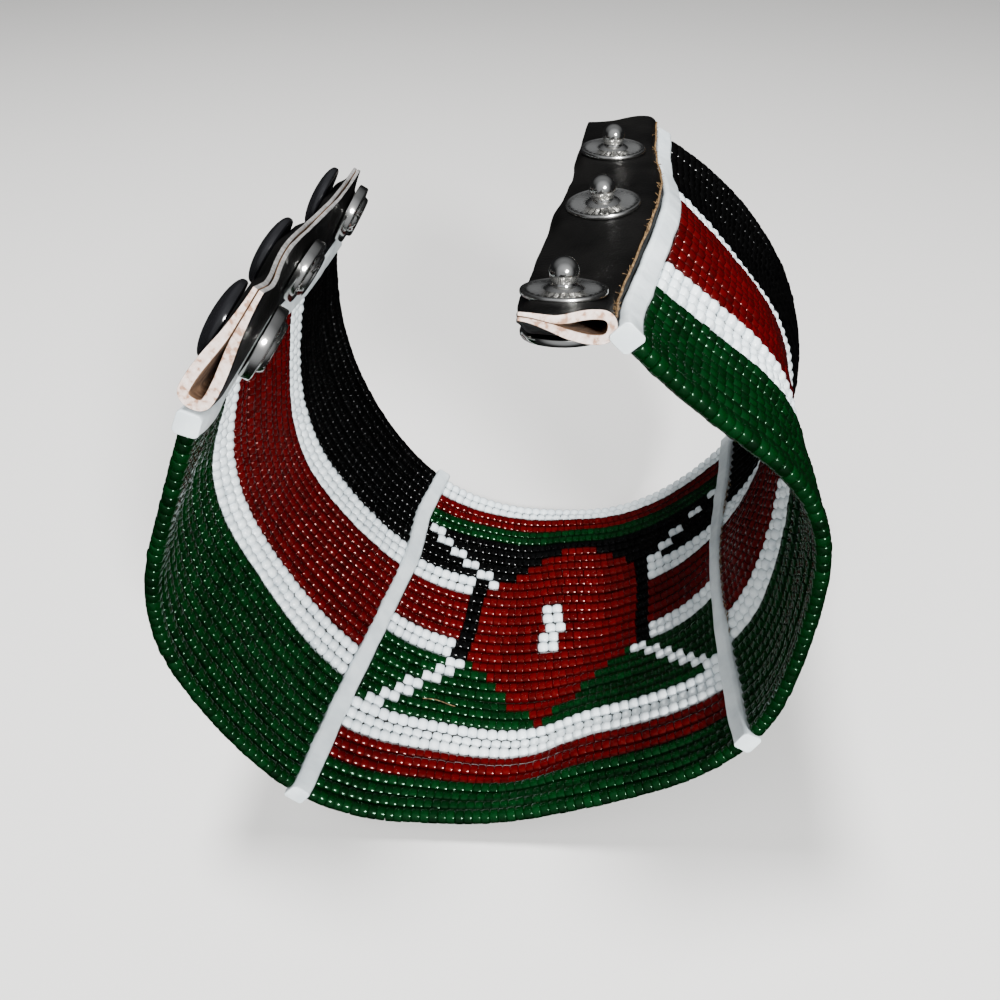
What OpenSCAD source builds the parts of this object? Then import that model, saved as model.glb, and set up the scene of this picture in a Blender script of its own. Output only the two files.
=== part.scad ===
// Wide beaded cuff lying open on its outer face. Three stretches of beadwork are held by four
// white strips, and each end has a folded leather tab with three snap parts on each side.
// The strands run round the cuff, in planes of X and Z, and its width runs along Y.

/* [Beadwork] */
// Width of the beadwork across its strands
band_w = 78; // [72:0.5:84]
// Length of a strand between the two end strips, along the near edge
band_len = 200; // [192:1:208]
// Thickness of the beadwork, one bead through
band_t = 2.1; // [1.9:0.1:2.3]

/* [Strips] */
// Width of a strip along the strands
strip_w = 3; // [2.6:0.1:3.2]
// Thickness of a strip through the band
strip_t = 2.9; // [2.6:0.1:3.1]
// How far a strip runs past each edge of the beadwork
strip_over = 0.5; // [0.2:0.1:1.8]

/* [Leather] */
// Thickness of one layer of leather
leather_t = 1.4; // [1:0.1:1.6]
// How far the two layers of a tab stand apart between the snaps, at the free edge
layers_open = 0.9; // [0.4:0.1:1.4]

/* [Snaps] */
// Distance from one snap to the next across the width
snap_pitch = 26; // [24.5:0.5:26.5]
// Diameter of a cap
cap_d = 10.2; // [9.5:0.1:10.6]
// Height of a cap's dome
cap_h = 2; // [1.6:0.1:2.4]
// Diameter of a socket
socket_d = 9.4; // [9:0.1:10]
// Height of a socket
socket_h = 2.2; // [2:0.1:2.6]
// Diameter of a stud's flange and of the plate behind it
flange_d = 9.7; // [9:0.1:10.2]
// Diameter of a stud's ball head
ball_d = 3.4; // [3.2:0.1:3.6]
// Thickness of the plate behind a stud
plate_t = 1; // [0.8:0.1:1.2]

/* [Fit] */
// Clearance between two pieces that lie against each other
gap = 0.15; // [0.1:0.05:0.25]
// Clearance between a snap part and the leather, which twists a little along the tab
snap_gap = 0.25; // [0.2:0.05:0.35]

/* [Hidden] */

// How the cuff lies. The place is a percentage of the strand's length from the socket tab.
// The two headings are degrees from +X towards +Z, of the near and the far edge. The next
// three columns are millimetres that the band stands inwards of the line between its edges:
// as one swell over the width, as a lean of two halves, and as a ripple of three. The last
// is how many millimetres the middle strands lie away from the near edge of an even spacing
PLACE = 0;
NEAR = 1;
FAR = 2;
SWELL = 3;
LEAN = 4;
RIPPLE = 5;
BUNCH = 6;
SHAPE = [
    [0,   -112, -103, -1.0, -0.5,  1.0,  0.0],
    [10,  -110,  -89, -1.5, -1.0, -1.0,  0.0],
    [20,   -70,  -68, -1.5,  1.0,  0.0,  0.5],
    [30,   -52,  -49,  0.0,  0.0, -1.0, -1.5],
    [40,     0,  -14, -0.5, -1.0,  0.5, -2.0],
    [44,     0,    0, -1.0, -1.5,  0.0, -2.5],
    [48,    15,    0,  0.5, -2.5,  0.0, -3.0],
    [52,    19,   19,  0.5, -0.5,  1.0, -3.0],
    [60,    29,   45,  2.5, -0.5,  0.5, -5.5],
    [70,    79,   60,  4.0, -0.5, -1.5, -6.0],
    [80,    90,  108,  2.5,  0.0, -1.0,  0.5],
    [90,   145,  130,  1.5, -0.5,  1.5, -1.0],
    [100,  134,  152,  0.5,  1.0,  1.5, -1.5]];
// Start of the far edge past the start of the near edge
far_start = 3.5;
// Turn about the X axis that lays the cuff down on its lowest places
rest_tilt = 2.2;

// The lines that the strips follow. The first column is a percentage of the width from the
// near edge. The others are millimetres along the strands, counted from each strip's place
ACROSS = 0;
LEFT_END = 1;
LEFT_SPACER = 2;
RIGHT_SPACER = 3;
RIGHT_END = 4;
LINES = [
    [0,    0.0, -0.4,  2.0, -0.4],
    [10,   3.0, -0.2,  0.5, -1.6],
    [25,   6.5, -0.1, -0.3, -2.3],
    [50,   9.2,  0.1, -0.4, -2.3],
    [70,  10.2,  0.9, -0.4, -2.4],
    [84,  10.8, -0.3,  0.0, -1.4],
    [100, 11.5,  0.2,  0.3,  0.0]];
// Places of the strips, in percent of the strand's length
left_spacer_at = 32.35;
right_spacer_at = 65.2;

// The folded tabs. The columns are a percentage of the width, the way that the tab points
// and the way that its fold lies from the strip, in degrees from +X towards +Z, its length
// and how far from the fold a snap sits
AIM = 1;
HANG = 2;
LENGTH = 3;
SNAP = 4;
SOCKET_TAB = [
    [0,    55,  66, 16,   5.4],
    [50,   57,  72, 14.5, 8],
    [100,  63,  76, 11.5, 7.6]];
STUD_TAB = [
    [0,   179, 166,  9.2, 3.0],
    [50,  186, 162, 13,   4.4],
    [100, 178, 152, 10.5, 4]];
// Share of the width at which the middle snap sits
middle_snap = 0.48;

// Steps along an edge, and how far an edge is followed past the beadwork
step = 1;
lead = 30;
// Number of points and rings in each loft. The strips have a ring at each point of a panel
panel_rings = 16;
panel_points = 24;
tab_sections = 26;

function column(table, c, first_scale) = [for (row = table) [row[0] * first_scale, row[c]]];
function mix(a, b, share) = a * (1 - share) + b * share;
function toward(angle) = [cos(angle), sin(angle)];

along_scale = band_len / 100;
NEAR_TURN = column(SHAPE, NEAR, along_scale);
FAR_TURN = column(SHAPE, FAR, along_scale);
SWELLS = column(SHAPE, SWELL, along_scale);
LEANS = column(SHAPE, LEAN, along_scale);
RIPPLES = column(SHAPE, RIPPLE, along_scale);
BUNCHES = column(SHAPE, BUNCH, along_scale);

// An edge as points of X and Z, one for each step, from its lead before the beadwork on
function walk(turn) = [
    for (i = 0, p = [0, 0];
        i * step <= band_len + 2 * lead;
        p = p + step * toward(lookup((i + 0.5) * step - lead, turn)), i = i + 1) p];
// The same edge moved so that its lowest point is half a band above zero
function set_down(edge, start_x) = let(
    start = edge[lead / step],
    on_band = [for (i = [lead / step : (lead + band_len) / step]) edge[i].y],
    down = min(on_band) - band_t / 2)
    [for (p = edge) [p.x - start.x + start_x, p.y - down]];
near_edge = set_down(walk(NEAR_TURN), 0);
far_edge = set_down(walk(FAR_TURN), far_start);
function along(edge, s) = let(i = (s + lead) / step, k = floor(i))
    mix(edge[k], edge[k + 1], i - k);

// A point of the band: s along the strands, u the share of its width, rise inwards of its
// middle layer
function heading(s, u) = mix(lookup(s, NEAR_TURN), lookup(s, FAR_TURN), u);
function stand(s, u) = lookup(s, SWELLS) * sin(180 * u) + lookup(s, LEANS) * sin(360 * u)
    + lookup(s, RIPPLES) * sin(540 * u);
function spot(s, u, rise) = let(
    a = heading(s, u),
    p = mix(along(near_edge, s), along(far_edge, s), u),
    h = stand(s, u) + rise)
    [p.x - sin(a) * h, band_w * u + lookup(s, BUNCHES) * sin(180 * u), p.y + cos(a) * h];

// The middle line of a strip, as a place along the strands at a share of the width
function line_at(c, u) = lookup(u * 100, column(LINES, c, 1));
function left_end(u) = line_at(LEFT_END, u) - strip_w / 2;
function left_spacer_line(u) = band_len * left_spacer_at / 100 + line_at(LEFT_SPACER, u);
function right_spacer_line(u) = band_len * right_spacer_at / 100 + line_at(RIGHT_SPACER, u);
function right_end(u) = band_len + line_at(RIGHT_END, u) + strip_w / 2;
function strip_line(c, u) = c == LEFT_END ? left_end(u)
    : c == LEFT_SPACER ? left_spacer_line(u)
    : c == RIGHT_SPACER ? right_spacer_line(u)
    : right_end(u);

// Section of the beadwork across its width, as pairs of share and rise, with round edges.
// The second half is the first half turned back on the inner side
edge_share = band_t / 2 / band_w;
EDGE_ANGLES = [15, 45, 75];
function near_round() = [for (a = EDGE_ANGLES) [edge_share * (1 - cos(a)), -band_t / 2 * sin(a)]];
function outer_half() = concat(
    near_round(),
    [for (i = [1 : panel_points - 1]) [i / panel_points, -band_t / 2]],
    [for (i = [len(EDGE_ANGLES) - 1 : -1 : 0]) let(q = near_round()[i]) [1 - q.x, q.y]]);
function there_and_back(half) = concat(half,
    [for (i = [len(half) - 1 : -1 : 0]) [half[i].x, -half[i].y]]);
function panel_ring(from, to, k) = let(clear = strip_w / 2 + gap)
    [for (q = there_and_back(outer_half()))
        spot(mix(strip_line(from, q.x) + clear, strip_line(to, q.x) - clear, k), q.x, q.y)];
function panel_loft(from, to) = [for (i = [0 : panel_rings]) panel_ring(from, to, i / panel_rings)];

// Section of a strip, as pairs of place along the strands and rise, with cut corners
strip_corner = 0.4;
function strip_half() = let(w = strip_w / 2, t = strip_t / 2)
    [[-w, t - strip_corner], [-w + strip_corner, t], [w - strip_corner, t], [w, t - strip_corner]];
function strip_ring(c, u) = [for (q = there_and_back(strip_half()))
    spot(strip_line(c, u) + q.x, u, q.y)];
over_share = strip_over / band_w;
function strip_loft(c) = concat(
    [strip_ring(c, -over_share)],
    [for (i = [0 : panel_points]) strip_ring(c, i / panel_points)],
    [strip_ring(c, 1 + over_share)]);

// A folded tab. Its fold goes round a small hollow that narrows to a slit between the layers
socket_hollow = 0.55;
stud_hollow = 0.35;
hollow_len = 2.4;
slit = 0.5;
FOLD_ANGLES = [-75, -45, -15, 15, 45, 75];
function across(table, c, u) = lookup(u * 100, column(table, c, 1));
function snap_share(n) = middle_snap + n * snap_pitch / band_w;
// Nought at each snap and one half way between two
function between_snaps(u) = pow(sin(180 * (u - snap_share(0)) * band_w / snap_pitch), 4);
function half_slit(u, share) = slit / 2 + layers_open / 2 * between_snaps(u) * pow(share, 2);
// One face of the leather that lies the given thickness off the hollow, as pairs of distance
// from the fold's centre and distance from the tab's middle: up one layer, round the fold and
// back along the other layer
function layer(u, length, thick) = [
    for (share = [1, 0.8, 0.6]) [share * length, half_slit(u, share) + thick],
    [hollow_len, half_slit(u, hollow_len / length) + thick]];
function fold_arc(r) = [for (a = FOLD_ANGLES) -r * [cos(a), sin(a)]];
function tab_face(u, length, hollow, thick) =
    let(side = layer(u, length, thick), arc = fold_arc(hollow + thick)) concat(
        [for (q = side) [q.x, -q.y]],
        [for (i = [len(arc) - 1 : -1 : 0]) arc[i]],
        [for (i = [len(side) - 1 : -1 : 0]) side[i]]);
function tab_section(u, length, hollow) = let(
    outer = tab_face(u, length, hollow, leather_t),
    inner = tab_face(u, length, hollow, 0))
    concat(outer, [for (i = [len(inner) - 1 : -1 : 0]) inner[i]]);
// Centre of the fold, clear of the corners of the strip that it lies against
strip_reach = norm([strip_w / 2, strip_t / 2 - strip_corner]);
function fold_at(p, way, hollow) = let(far = strip_reach + gap + hollow + leather_t)
    [p.x + far * cos(way), p.y, p.z + far * sin(way)];
function socket_fold(u) =
    fold_at(spot(left_end(u), u, 0), across(SOCKET_TAB, HANG, u), socket_hollow);
function stud_fold(u) =
    fold_at(spot(right_end(u), u, 0), across(STUD_TAB, HANG, u), stud_hollow);
function tab_place(fold, aim, q) =
    [fold.x + q.x * cos(aim) - q.y * sin(aim), fold.y, fold.z + q.x * sin(aim) + q.y * cos(aim)];
function socket_place(u, q) = tab_place(socket_fold(u), across(SOCKET_TAB, AIM, u), q);
function stud_place(u, q) = tab_place(stud_fold(u), across(STUD_TAB, AIM, u), q);
function socket_ring(u) = let(
    length = across(SOCKET_TAB, LENGTH, u) - leather_t - socket_hollow)
    [for (q = tab_section(u, length, socket_hollow)) socket_place(u, q)];
function stud_ring(u) = let(
    length = across(STUD_TAB, LENGTH, u) - leather_t - stud_hollow)
    [for (q = tab_section(u, length, stud_hollow)) stud_place(u, q)];
function socket_loft() = [for (i = [0 : tab_sections]) socket_ring(i / tab_sections)];
function stud_loft() = [for (i = [0 : tab_sections]) stud_ring(i / tab_sections)];

// The cuff laid down on its lowest places
function laid(p) = [p.x, p.y * cos(rest_tilt) + p.z * sin(rest_tilt),
    p.z * cos(rest_tilt) - p.y * sin(rest_tilt)];
STRIPS = [LEFT_END, LEFT_SPACER, RIGHT_SPACER, RIGHT_END];
outline = [
    for (i = [0 : len(STRIPS) - 2], ring = panel_loft(STRIPS[i], STRIPS[i + 1]), p = ring) laid(p),
    for (c = STRIPS, ring = strip_loft(c), p = ring) laid(p)];
function middle(values) = (min(values) + max(values)) / 2;
centre_x = middle([for (p = outline) p.x]);
centre_y = middle([for (p = outline) p.y]);
floor_z = min([for (p = outline) p.z]);

module lie() {
    translate([-centre_x, -centre_y, -floor_z])
        rotate([-rest_tilt, 0, 0])
            children();
}

// A closed solid through rings of points. Each ring is the same way round, and its first half
// faces its second half, so that both ends close in a row of quads
module loft(rings) {
    n = len(rings[0]);
    last = len(rings) - 1;
    points = [for (ring = rings) each ring];
    sides = [for (i = [0 : last - 1], j = [0 : n - 1])
        let(a = i * n + j, b = i * n + (j + 1) % n, c = b + n, d = a + n)
            each [[a, d, c], [a, c, b]]];
    first_end = [for (j = [0 : n / 2 - 2]) let(k = n - 1 - j)
        each [[j, j + 1, k - 1], [j, k - 1, k]]];
    last_end = [for (f = first_end) [f[2] + last * n, f[1] + last * n, f[0] + last * n]];
    polyhedron(points, concat(sides, first_end, last_end), convexity = 8);
}

module left_panel() {
    color("firebrick") lie() loft(panel_loft(LEFT_END, LEFT_SPACER));
}

module centre_panel() {
    color("forestgreen") lie() loft(panel_loft(LEFT_SPACER, RIGHT_SPACER));
}

module right_panel() {
    color("firebrick") lie() loft(panel_loft(RIGHT_SPACER, RIGHT_END));
}

module strip(c) {
    color("white") lie() loft(strip_loft(c));
}

module left_end_strip() {
    strip(LEFT_END);
}

module left_spacer() {
    strip(LEFT_SPACER);
}

module right_spacer() {
    strip(RIGHT_SPACER);
}

module right_end_strip() {
    strip(RIGHT_END);
}

module socket_tab() {
    color("dimgray") lie() loft(socket_loft());
}

module stud_tab() {
    color("dimgray") lie() loft(stud_loft());
}

// Profiles of the snap parts, from the axis out, seated at zero and standing up
snap_sides = 48;
cap_rim = 0.6;
module cap_shape() {
    dome = [for (a = [0 : 15 : 90]) [cap_d / 2 * cos(a), cap_rim + (cap_h - cap_rim) * sin(a)]];
    rotate_extrude($fn = snap_sides)
        polygon(concat([[0, 0], [cap_d / 2 - 0.3, 0], [cap_d / 2, 0.25]], dome));
}

well_r = 1.8;
well_floor = 0.4;
lip_r = 2.7;
socket_step_r = 3.3;
module socket_shape() {
    r = socket_d / 2;
    rotate_extrude($fn = snap_sides)
        polygon([[0, 0], [r - 0.2, 0], [r, 0.2], [r, 1], [r - 0.7, 1.5], [socket_step_r, 1.6],
            [lip_r, socket_h], [well_r + 0.2, socket_h], [well_r, socket_h - 0.2],
            [well_r, well_floor], [0, well_floor]]);
}

flange_t = 0.5;
rim_h = 0.85;
rim_w = 0.7;
collar_r = 2;
post_r = 1.25;
ball_at = 2.3;
module stud_shape() {
    r = flange_d / 2;
    ball = [for (a = [-45 : 15 : 90]) [ball_d / 2 * cos(a), ball_at + ball_d / 2 * sin(a)]];
    rotate_extrude($fn = snap_sides)
        polygon(concat([[0, 0], [r - 0.2, 0], [r, 0.2], [r, rim_h - 0.15], [r - 0.2, rim_h],
            [r - rim_w, rim_h], [r - rim_w - 0.3, flange_t], [collar_r + 0.3, flange_t],
            [collar_r, rim_h], [post_r, rim_h + 0.1]], ball));
}

module plate_shape() {
    r = flange_d / 2;
    rotate_extrude($fn = snap_sides)
        polygon([[0, 0], [r - 0.2, 0], [r, 0.2], [r, plate_t - 0.3], [r - 0.3, plate_t], [0, plate_t]]);
}

// A snap part on a tab's face, turned with the face and lifted off it where the face is
// hollow. The side is 1 or -1 of the tab's middle
snap_reach = 5 / band_w;
function face_tilt(a, b, aim) = let(d = b - a) atan2(-d.x * sin(aim) + d.z * cos(aim), d.y);
module on_face(at, before, after, aim, side) {
    out = side * [-sin(aim), 0, cos(aim)];
    lift = max(0, ((before + after) / 2 - at) * out);
    lie() translate(at + lift * out) rotate([0, -aim, 0])
        rotate([face_tilt(before, after, aim) + (side > 0 ? 0 : 180), 0, 0])
            children();
}

snap_seat = slit / 2 + leather_t + snap_gap;
module on_socket_tab(n, side) {
    u = snap_share(n);
    seat = [across(SOCKET_TAB, SNAP, u), side * snap_seat];
    on_face(socket_place(u, seat), socket_place(u - snap_reach, seat),
        socket_place(u + snap_reach, seat), across(SOCKET_TAB, AIM, u), side)
        children();
}

module on_stud_tab(n, side) {
    u = snap_share(n);
    seat = [across(STUD_TAB, SNAP, u), side * snap_seat];
    on_face(stud_place(u, seat), stud_place(u - snap_reach, seat),
        stud_place(u + snap_reach, seat), across(STUD_TAB, AIM, u), side)
        children();
}

module cap(n) {
    color("black") on_socket_tab(n, 1) cap_shape();
}

module socket(n) {
    color("silver") on_socket_tab(n, -1) socket_shape();
}

module stud(n) {
    color("silver") on_stud_tab(n, -1) stud_shape();
}

module stud_back(n) {
    color("silver") on_stud_tab(n, 1) plate_shape();
}

left_panel();
centre_panel();
right_panel();
left_end_strip();
left_spacer();
right_spacer();
right_end_strip();
socket_tab();
stud_tab();
cap(-1);  // cap_near
cap(0);  // cap_mid
cap(1);  // cap_far
socket(-1);  // socket_near
socket(0);  // socket_mid
socket(1);  // socket_far
stud(-1);  // stud_near
stud(0);  // stud_mid
stud(1);  // stud_far
stud_back(-1);  // stud_back_near
stud_back(0);  // stud_back_mid
stud_back(1);  // stud_back_far
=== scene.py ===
import math

import bpy
import numpy as np
from mathutils import Matrix, Vector


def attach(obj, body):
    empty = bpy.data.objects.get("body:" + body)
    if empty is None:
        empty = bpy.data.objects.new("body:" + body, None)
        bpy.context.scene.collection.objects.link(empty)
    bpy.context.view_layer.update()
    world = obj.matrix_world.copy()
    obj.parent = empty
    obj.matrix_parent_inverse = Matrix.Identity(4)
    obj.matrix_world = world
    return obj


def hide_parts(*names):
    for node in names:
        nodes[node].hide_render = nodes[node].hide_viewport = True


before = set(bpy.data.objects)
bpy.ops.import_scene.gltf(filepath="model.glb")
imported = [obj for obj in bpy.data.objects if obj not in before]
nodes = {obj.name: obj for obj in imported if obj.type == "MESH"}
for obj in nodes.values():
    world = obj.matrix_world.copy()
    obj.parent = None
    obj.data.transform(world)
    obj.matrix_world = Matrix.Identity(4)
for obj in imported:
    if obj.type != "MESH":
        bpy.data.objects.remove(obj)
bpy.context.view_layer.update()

# ---------------------------------------------------------------------------------------
# The cuff lies by itself on a plain pale table, seen from the photograph's place, a little
# above and in front of its green edge. A soft key lamp stands over it, a front lamp puts
# one glint on each bead, and a broad dim light fills the shadows.
CUFF_MIDDLE = Vector((0, 0, 0.03))


def clear_selection():
    if bpy.context.object and bpy.context.object.mode != "OBJECT":
        bpy.ops.object.mode_set(mode="OBJECT")
    bpy.ops.object.select_all(action="DESELECT")


clear_selection()
bpy.ops.object.camera_add(
    location=(-0.00124, -0.12624, 0.12602),
    rotation=(math.radians(53.24), math.radians(-0.064), math.radians(1.939)),
)
camera = bpy.context.object
camera.name = "photo_camera"
camera.data.lens = 35.51
camera.data.sensor_width = 36
camera.data.clip_start = 0.005
camera.data.clip_end = 20
bpy.context.scene.camera = camera


def plain_material(name, colour, roughness, metallic=0.0):
    """A material with its own shader settings, and the parts that a finish is built on."""
    made = bpy.data.materials.new(name)
    made.use_nodes = True
    shader = made.node_tree.nodes["Principled BSDF"]
    shader.inputs["Base Color"].default_value = (*colour, 1)
    shader.inputs["Roughness"].default_value = roughness
    shader.inputs["Metallic"].default_value = metallic
    return made, made.node_tree.nodes, made.node_tree.links, shader


clear_selection()
bpy.ops.mesh.primitive_plane_add(size=4, location=(0, 0, 0))
table = bpy.context.object
table.name = "table"
table.data.materials.append(plain_material("pale_table", (0.78, 0.77, 0.75), 0.6)[0])
table.visible_glossy = False


def turn_lamp(lamp, way):
    lamp.rotation_euler = way.to_track_quat("-Z", "Y").to_euler()


def soft_lamp(name, place, size, power, mirrored):
    """A round soft lamp aimed at the cuff, which glossy surfaces mirror or don't."""
    clear_selection()
    bpy.ops.object.light_add(type="AREA", location=place)
    lamp = bpy.context.object
    lamp.name = name
    lamp.data.shape = "DISK"
    lamp.data.size = size
    lamp.data.energy = power
    lamp.visible_glossy = mirrored
    turn_lamp(lamp, CUFF_MIDDLE - Vector(place))


soft_lamp("key_lamp", (-0.1, 0.04, 0.62), 0.14, 6.8, False)
soft_lamp("front_lamp", (0.2, -0.54, 0.34), 0.12, 9.0, True)
clear_selection()
bpy.ops.object.light_add(type="SUN", location=(-0.5, -0.5, 0.8))
fill = bpy.context.object
fill.name = "fill_light"
fill.data.energy = 1.35
fill.data.angle = math.radians(40)
fill.visible_glossy = False
turn_lamp(fill, Vector((0.5, 0.5, -0.8)))

room = bpy.data.worlds.new("studio")
room.use_nodes = True
room_nodes = room.node_tree.nodes
room_links = room.node_tree.links
backdrop = room_nodes["Background"]
backdrop.inputs["Color"].default_value = (0.92, 0.95, 1, 1)


def glow(source, low, high, level, easing="LINEAR"):
    """Light that grows from nothing to its level as the source goes from low to high."""
    node = room_nodes.new("ShaderNodeMapRange")
    node.interpolation_type = easing
    node.inputs["From Min"].default_value = low
    node.inputs["From Max"].default_value = high
    node.inputs["To Max"].default_value = level
    room_links.new(source, node.inputs["Value"])
    return node.outputs["Result"]


def added_light(amount, level, before):
    """The light before, and so much of a level more; each is a number or another's output."""
    node = room_nodes.new("ShaderNodeMath")
    node.operation = "MULTIPLY_ADD"
    for socket, term in zip(node.inputs, (amount, level, before)):
        if isinstance(term, (int, float)):
            socket.default_value = term
        else:
            room_links.new(term, socket)
    return node.outputs["Value"]


# Glossy surfaces mirror a dim soft wall in front of the cuff and a dimmer one overhead
way_out = room_nodes.new("ShaderNodeTexCoord").outputs["Generated"]
towards = room_nodes.new("ShaderNodeVectorMath")
towards.operation = "DOT_PRODUCT"
towards.inputs[1].default_value = (0.05, -0.94, 0.34)
height = room_nodes.new("ShaderNodeSeparateXYZ")
room_links.new(way_out, towards.inputs[0])
room_links.new(way_out, height.inputs["Vector"])
front_wall = glow(towards.outputs["Value"], 0.25, 0.95, 0.45, "SMOOTHSTEP")
overhead = glow(height.outputs["Z"], 0.3, 0.9, 0.24)
seen = room_nodes.new("ShaderNodeLightPath").outputs
level = added_light(seen["Is Glossy Ray"], added_light(front_wall, 1.0, overhead), 0.02)
level = added_light(seen["Is Diffuse Ray"], 0.08, level)
level = added_light(seen["Is Camera Ray"], 0.7, level)
room_links.new(level, backdrop.inputs["Strength"])
bpy.context.scene.world = room

# ---------------------------------------------------------------------------------------
# The beadwork: 37 strands of seed beads side by side, strung on thread through the four
# strips. Red and green beads are clear glass, white and black ones are opaque, and all
# are short round tubes as long as about two thirds of their width.
MM = 0.001
BAND_W = 78.0
BAND_LEN = 200.0
STRANDS = 37
HALF_STRAND = 1.05
# The band at hundredths of its length: which way its near and far edges head, in degrees,
# and how many millimetres it swells, leans, ripples and bunches over its width
PLACE, NEAR, FAR, SWELL, LEAN, RIPPLE, BUNCH = range(7)
SHAPE = np.array([
    (0, -112, -103, -1.0, -0.5, 1.0, 0.0),
    (10, -110, -89, -1.5, -1.0, -1.0, 0.0),
    (20, -70, -68, -1.5, 1.0, 0.0, 0.5),
    (30, -52, -49, 0.0, 0.0, -1.0, -1.5),
    (40, 0, -14, -0.5, -1.0, 0.5, -2.0),
    (44, 0, 0, -1.0, -1.5, 0.0, -2.5),
    (48, 15, 0, 0.5, -2.5, 0.0, -3.0),
    (52, 19, 19, 0.5, -0.5, 1.0, -3.0),
    (60, 29, 45, 2.5, -0.5, 0.5, -5.5),
    (70, 79, 60, 4.0, -0.5, -1.5, -6.0),
    (80, 90, 108, 2.5, 0.0, -1.0, 0.5),
    (90, 145, 130, 1.5, -0.5, 1.5, -1.0),
    (100, 134, 152, 0.5, 1.0, 1.5, -1.5),
], float)
# It eases over EASED mm on each side of a change, its far edge starts FAR_START mm further
# to the right, and both edges are drawn LEAD mm past its ends
EASED = 3
FAR_START = 3.5
LEAD = 30
REST_TILT = math.radians(2.2)
MIDDLE_OF_FOOTPRINT = (38.052, 40.595, -2.956)
# How far each strip's line runs from its place, in millimetres, at hundredths of the width
ACROSS, LEFT_END, LEFT_SPACER, RIGHT_SPACER, RIGHT_END = range(5)
LINES = np.array([
    (0, 0.0, -0.4, 2.0, -0.4),
    (10, 3.0, -0.2, 0.5, -1.6),
    (25, 6.5, -0.1, -0.3, -2.3),
    (50, 9.2, 0.1, -0.4, -2.3),
    (70, 10.2, 0.9, -0.4, -2.4),
    (84, 10.8, -0.3, 0.0, -1.4),
    (100, 11.5, 0.2, 0.3, 0.0),
])
STRIP_W = 3.0
STRIP_PLACE = {
    LEFT_END: -STRIP_W / 2,
    LEFT_SPACER: BAND_LEN * 0.3235,
    RIGHT_SPACER: BAND_LEN * 0.652,
    RIGHT_END: BAND_LEN + STRIP_W / 2,
}


def at_place(s, column):
    """The band's shape at so many millimetres along it, eased on both sides of each change."""
    places, values = SHAPE[:, PLACE], SHAPE[:, column]
    return sum(np.interp((np.asarray(s) + step) * 100 / BAND_LEN, places, values)
               for step in (-EASED, 0, EASED)) / 3


def edge_walk(column, start_x):
    """X and Z of an edge of the band at each millimetre, its lowest point half a bead up."""
    steps = np.radians(at_place(np.arange(BAND_LEN + 2 * LEAD) + 0.5 - LEAD, column))
    x = np.concatenate([[0], np.cumsum(np.cos(steps))])
    z = np.concatenate([[0], np.cumsum(np.sin(steps))])
    low = z[LEAD:LEAD + int(BAND_LEN) + 1].min() - HALF_STRAND
    return x - x[LEAD] + start_x, z - low


NEAR_EDGE = edge_walk(NEAR, 0)
FAR_EDGE = edge_walk(FAR, FAR_START)
EDGE_PLACES = np.arange(BAND_LEN + 2 * LEAD + 1) - LEAD


def laid(x, y, z):
    """Points of the band in the model's own place on the table, in metres."""
    c, s = math.cos(REST_TILT), math.sin(REST_TILT)
    mx, my, mz = MIDDLE_OF_FOOTPRINT
    return np.stack([x - mx, y * c + z * s - my, z * c - y * s - mz], -1) * MM


def between_edges(s, u, part):
    """X (part 0) or Z (part 1) on the straight line from the near edge to the far one."""
    near = np.interp(s, EDGE_PLACES, NEAR_EDGE[part])
    far = np.interp(s, EDGE_PLACES, FAR_EDGE[part])
    return near * (1 - u) + far * u


def band_heading(s, u):
    return np.radians(at_place(s, NEAR) * (1 - u) + at_place(s, FAR) * u)


def band_line(s, u, rise=0):
    """X, Y and Z of the band before it is laid down: s along the strands, u over the width."""
    heading = band_heading(s, u)
    height = sum(at_place(s, column) * math.sin(waves * math.pi * u)
                 for waves, column in enumerate((SWELL, LEAN, RIPPLE), 1)) + rise
    y = BAND_W * u + at_place(s, BUNCH) * math.sin(math.pi * u)
    return (between_edges(s, u, 0) - np.sin(heading) * height, y,
            between_edges(s, u, 1) + np.cos(heading) * height)


def band_point(s, u, rise):
    """A point of the band, so far inwards of the middle of its strands."""
    return laid(*band_line(s, u, rise))


def across(chart, column, u):
    """What a chart says at the share u of the band's width."""
    return np.interp(u * 100, chart[:, ACROSS], chart[:, column])


def strip_line(strip, u):
    return STRIP_PLACE[strip] + across(LINES, strip, u)


def object_noise(material_nodes, links, scale, detail=3.0):
    """Noise on the piece's own Object coordinates, at so many bumps a metre."""
    where = material_nodes.new("ShaderNodeTexCoord")
    noise = material_nodes.new("ShaderNodeTexNoise")
    noise.inputs["Scale"].default_value = scale
    noise.inputs["Detail"].default_value = detail
    links.new(where.outputs["Object"], noise.inputs["Vector"])
    return noise


def colour_ramp(material_nodes, links, source, stops):
    """Colours that a number from 0 to 1 runs through, each at its stop."""
    ramp = material_nodes.new("ShaderNodeValToRGB")
    while len(ramp.color_ramp.elements) < len(stops):
        ramp.color_ramp.elements.new(0.5)
    for element, (place, colour) in zip(ramp.color_ramp.elements, stops):
        element.position = place
        element.color = (*colour, 1)
    links.new(source, ramp.inputs["Fac"])
    return ramp


# How far the tone drops where a bead meets the next bead or the next strand: painted shade in the
# gaps
PAINTED_GAP_SHADE = 0.35


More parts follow.
